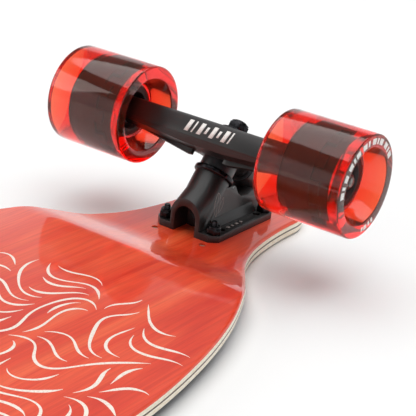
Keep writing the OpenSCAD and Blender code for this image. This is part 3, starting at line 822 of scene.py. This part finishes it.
# two thin leaves and a stem, laser-etched through the paint on both walls of each baseplate
etched = material("laser_etched_paint", "#8f8480", 0.5, Metallic=0.3)
etch = mottle(etched, 2500.0, 2.0)
etch_tone = ramp(etched, etch, "Fac", [(0.3, "#6f6562"), (0.65, "#a79c97")])
join(etched, etch_tone, "Color", "Base Color")
leaves = [
    [(323, 22), (320, 28), (320.5, 34), (324, 40), (326.5, 34), (326, 28), (323, 22)],
    [(323.4, 22), (323.2, 28), (323.6, 34), (324, 40)],
    [(325.4, 24), (329, 26.5), (331, 31), (330.6, 35), (328, 32), (326.4, 28), (325.4, 24)],
]
for end in ("front", "rear"):
    casting = bmesh.new()
    casting.from_mesh(bpy.data.objects[f"{end}_cast_baseplate"].data)
    tree = BVHTree.FromBMesh(casting)
    turn = 1 if end == "front" else -1
    emblem = bmesh.new()
    for side in (-1, 1):
        for leaf in leaves:
            steps = 40
            line = bmesh.ops.create_grid(emblem, x_segments=1, y_segments=steps, size=1)
            for vert in line["verts"]:
                t = (vert.co.y + 1) / 2
                here = Vector(spline(leaf, t))
                along = (Vector(spline(leaf, min(1, t + 0.01))) - Vector(spline(leaf, max(0, t - 0.01))))
                along.normalize()
                y = (here.x - along.y * vert.co.x * 0.17) * MM * turn
                z = (here.y + along.x * vert.co.x * 0.17) * MM
                hit = tree.ray_cast(Vector((side * 0.04, y, z)), Vector((-side, 0, 0)))[0]
                vert.co = (hit.x + side * 0.04 * MM if hit else side * 0.013, y, z)
    bmesh.ops.recalc_face_normals(emblem, faces=emblem.faces)
    thick = bmesh.ops.extrude_face_region(emblem, geom=emblem.faces[:])
    for vert in [v for v in thick["geom"] if isinstance(v, bmesh.types.BMVert)]:
        vert.co.x -= math.copysign(0.06 * MM, vert.co.x)
    bmesh.ops.recalc_face_normals(emblem, faces=emblem.faces)
    piece(f"{end}_etched_emblem", emblem, etched, "board", smooth=0)
    tabs = bmesh.new()
    for side in (-1, 1):
        for i, wide in enumerate((2.8, 2.0, 2.8, 2.0)):
            y = (truck_y / MM - 15 + i * 5.2) * turn
            size = Matrix.Diagonal((2.2 * MM, wide * MM, 0.5 * MM, 1))
            bmesh.ops.create_cube(
                tabs, size=1, matrix=Matrix.Translation((side * 21.4 * MM, y * MM, deck_z + 5.1 * MM)) @ size
            )
    bmesh.ops.bevel(
        tabs, geom=tabs.edges[:], offset=0.15 * MM, affect="EDGES", segments=2, profile=0.5, material=-1
    )
    piece(f"{end}_cast_tabs", tabs, etched, "board")
    casting.free()

# dashes round the face: start and sweep in degrees, inner and outer radius in mm
wide_starts = (118, 137, 152, 171, 193, 208, 227, 242, 263)
narrow_starts = (130, 164, 186, 220, 256)
face_dashes = [
    (start, 9 if start in wide_starts else 4, 29.2, 33.4)
    for start in sorted(wide_starts + narrow_starts)
]
face_dashes += [(4, 4, 29.6, 33), (10, 7, 29.6, 33), (20, 4, 29.6, 33), (27, 4, 29.6, 33)]
for end in ("front", "rear"):
    for side in ("left", "right"):
        wheel = f"{end}_{side}"
        low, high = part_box(f"{wheel}_tyre")
        sign = 1 if side == "left" else -1
        middle = (low + high) / 2
        outer_face = Matrix.Translation(
            (high.x if sign > 0 else low.x, middle.y, middle.z)
        ) @ Matrix.Rotation(math.pi / 2, 4, "Y")
        dashes = bmesh.new()
        for start, sweep, inner, outer in face_dashes:
            made = bmesh.ops.create_grid(dashes, x_segments=8, y_segments=1, size=1)
            for vert in made["verts"]:
                angle = math.radians(start + sweep * (vert.co.x + 1) / 2)
                radius = (inner + (outer - inner) * (vert.co.y + 1) / 2) * MM
                vert.co = (radius * math.cos(angle), radius * math.sin(angle), 0.02 * sign * MM)
        plate_top = bmesh.ops.extrude_face_region(dashes, geom=dashes.faces[:])
        lifted = [v for v in plate_top["geom"] if isinstance(v, bmesh.types.BMVert)]
        bmesh.ops.translate(dashes, verts=lifted, vec=(0, 0, 0.05 * sign * MM))
        bmesh.ops.transform(dashes, matrix=outer_face, verts=dashes.verts)
        bmesh.ops.recalc_face_normals(dashes, faces=dashes.faces)
        piece(f"{wheel}_face_print", dashes, white_ink, f"{wheel}_wheel", smooth=0)

# ---------- studio ----------
# A pale seamless floor under a ceiling-wide soft light, with a weaker softbox from the left and
# a backdrop that is bright near the floor and dim above.
floor_bm = bmesh.new()
bmesh.ops.create_grid(floor_bm, x_segments=1, y_segments=1, size=6)
floor_mesh = bpy.data.meshes.new("floor")
floor_bm.to_mesh(floor_mesh)
floor_bm.free()
floor = bpy.data.objects.new("floor", floor_mesh)
floor.location.z = cad_low.z
paper = material("pale_studio_floor", "#f4f4f3", 0.7)
floor_mesh.materials.append(paper)
bpy.context.scene.collection.objects.link(floor)


def softbox(name, at, aim, size, power, tint):
    """A square area light at a point, aimed at another."""
    data = bpy.data.lights.new(name, "AREA")
    data.size = size
    data.energy = power
    data.color = srgb(tint)[:3]
    lamp = bpy.data.objects.new(name, data)
    lamp.location = at
    lamp.rotation_euler = (Vector(aim) - Vector(at)).to_track_quat("-Z", "Y").to_euler()
    bpy.context.scene.collection.objects.link(lamp)


# the overhead light is as wide as a ceiling and lights the floor evenly out to its edges
ceiling_data = bpy.data.lights.new("ceiling", "SUN")
ceiling_data.energy = 2.6
ceiling_data.angle = math.radians(75)
ceiling = bpy.data.objects.new("ceiling", ceiling_data)
ceiling.rotation_euler = (math.radians(-6), math.radians(-5), 0)
bpy.context.scene.collection.objects.link(ceiling)
softbox("from_left", (-1.5, -0.7, 0.9), (0, 0.2, 0.05), 0.9, 6, "#fffdf8")
# the backdrop is bright up to a low height and the room above it is dim
world = bpy.data.worlds.new("studio")
world.use_nodes = True
sky = world.node_tree.nodes["Background"]
direction = add(world, "ShaderNodeTexCoord")
height = add(world, "ShaderNodeSeparateXYZ", [("Vector", direction, "Generated")])
backdrop = ramp(world, height, "Z", [(0.36, "#f4f5f7"), (0.46, "#77787b")])
world.node_tree.links.new(backdrop.outputs["Color"], sky.inputs["Color"])
sky.inputs["Strength"].default_value = 0.9
bpy.context.scene.world = world
bpy.context.scene.view_settings.view_transform = "Standard"
